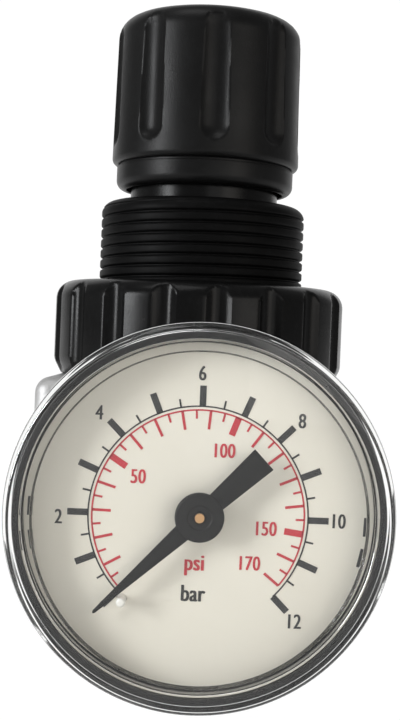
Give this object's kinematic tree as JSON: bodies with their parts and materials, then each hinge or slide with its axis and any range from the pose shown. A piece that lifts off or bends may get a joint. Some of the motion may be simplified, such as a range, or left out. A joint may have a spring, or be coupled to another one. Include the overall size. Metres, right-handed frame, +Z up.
{
  "type": "carbon dioxide pressure regulator",
  "caption": "Panel-mount pressure regulator with push-to-lock knob, fluted bonnet with threaded neck, zinc body with side ports and a round dial gauge facing forward.",
  "frame": {"origin": "on the knob's axis at the foot of the neck's thread, 0.6 mm above the shoulder where a panel seats", "axes": "+Z up the knob's axis, -Y towards the gauge's reader, inlet at -X and outlet at +X"},
  "size_m": [0.0431, 0.0809, 0.086],
  "materials": {
    "acetal": "moulded black acetal, satin gloss",
    "knob_plastic": "moulded black plastic with a fine matt texture",
    "zinc": "die-cast zinc, pale grey satin",
    "brass": "machined brass",
    "phosphor_bronze": "drawn bronze strip and tube",
    "steel": "zinc-plated steel",
    "nut_plastic": "natural acetal",
    "plug_plastic": "moulded black acetal",
    "rubber": "black nitrile rubber",
    "case_plastic": "moulded black plastic",
    "clear_plastic": "clear moulded plastic",
    "dial_enamel": "printed white dial",
    "pin_plastic": "white moulded pin",
    "pointer_black": "black painted aluminium"
  },
  "bodies": {
    "root": {"bonnet": "acetal", "body": "zinc", "gauge_stem": "brass", "hairspring_stud": "brass", "movement_back_plate": "brass", "movement_front_plate": "brass", "movement_pillars": "brass", "rear_plug": "brass", "bourdon_tube": "phosphor_bronze", "hairspring": "phosphor_bronze", "thrust_washer": "steel", "regulating_spring": "steel", "valve_spring": "steel", "pillar_screws": "steel", "plate_screws": "steel", "case_screws": "steel", "slip_ring": "nut_plastic", "bottom_plug": "plug_plastic", "diaphragm": "rubber", "plug_ring": "rubber", "rear_plug_ring": "rubber", "gauge_case": "case_plastic", "gauge_window": "clear_plastic", "dial": "dial_enamel", "stop_pin": "pin_plastic"},
    "screw": {"adjusting_screw": "steel"},
    "knob": {"knob": "knob_plastic"},
    "nut": {"spring_nut": "nut_plastic"},
    "diaphragm_stack": {"diaphragm_plate": "steel", "relief_seat": "brass"},
    "valve": {"valve_stem": "brass", "valve_disc": "rubber"},
    "sector": {"sector_gear": "brass", "sector_arbor": "steel"},
    "pointer": {"pinion_arbor": "brass", "pointer": "pointer_black", "hairspring_collet": "brass"},
    "tube_tip": {"tube_tip": "brass", "link": "brass"}
  },
  "joints": [
    {"name": "knob_turn", "type": "hinge", "parent": "root", "child": "screw", "pos_m": [0, 0, 0], "axis": [0, 0, -1], "range_deg": [0, 1800.1]},
    {"name": "knob_lock", "type": "slide", "parent": "screw", "child": "knob", "axis": [0, 0, 1], "range_m": [-0.0018, 0]},
    {"name": "nut_travel", "type": "slide", "parent": "root", "child": "nut", "axis": [0, 0, -1], "range_m": [0, 0.00625], "deforming": ["regulating_spring"]},
    {"name": "diaphragm_lift", "type": "slide", "parent": "root", "child": "diaphragm_stack", "axis": [0, 0, -1], "range_m": [0, 0.0009], "stiffness_N_per_m": 2000, "springref_m": -0.0005, "deforming": ["diaphragm"]},
    {"name": "valve_lift", "type": "slide", "parent": "root", "child": "valve", "axis": [0, 0, -1], "range_m": [0, 0.00091], "deforming": ["valve_spring"]},
    {"name": "sector_turn", "type": "hinge", "parent": "root", "child": "sector", "pos_m": [0.00528, -0.02, -0.03713], "axis": [0, -1, 0], "range_deg": [0, 33.8]},
    {"name": "pointer_turn", "type": "hinge", "parent": "root", "child": "pointer", "pos_m": [0, -0.02, -0.0272], "axis": [0, -1, 0], "range_deg": [-270.4, 0], "deforming": ["hairspring"]},
    {"name": "tip_travel", "type": "slide", "parent": "root", "child": "tube_tip", "axis": [0.2385, 0, 0.9711], "range_m": [0, 0.00302], "stiffness_N_per_m": 20, "springref_m": -0.0006, "deforming": ["bourdon_tube"]}
  ],
  "couplings": [
    {"joint": "knob_turn", "follows": "nut_travel", "rad_per_m": 5026.5},
    {"joint": "valve_lift", "follows": "diaphragm_lift", "ratio": 1},
    {"joint": "pointer_turn", "follows": "tip_travel", "rad_per_m": -1560.9},
    {"joint": "sector_turn", "follows": "tip_travel", "rad_per_m": 195.11}
  ]
}
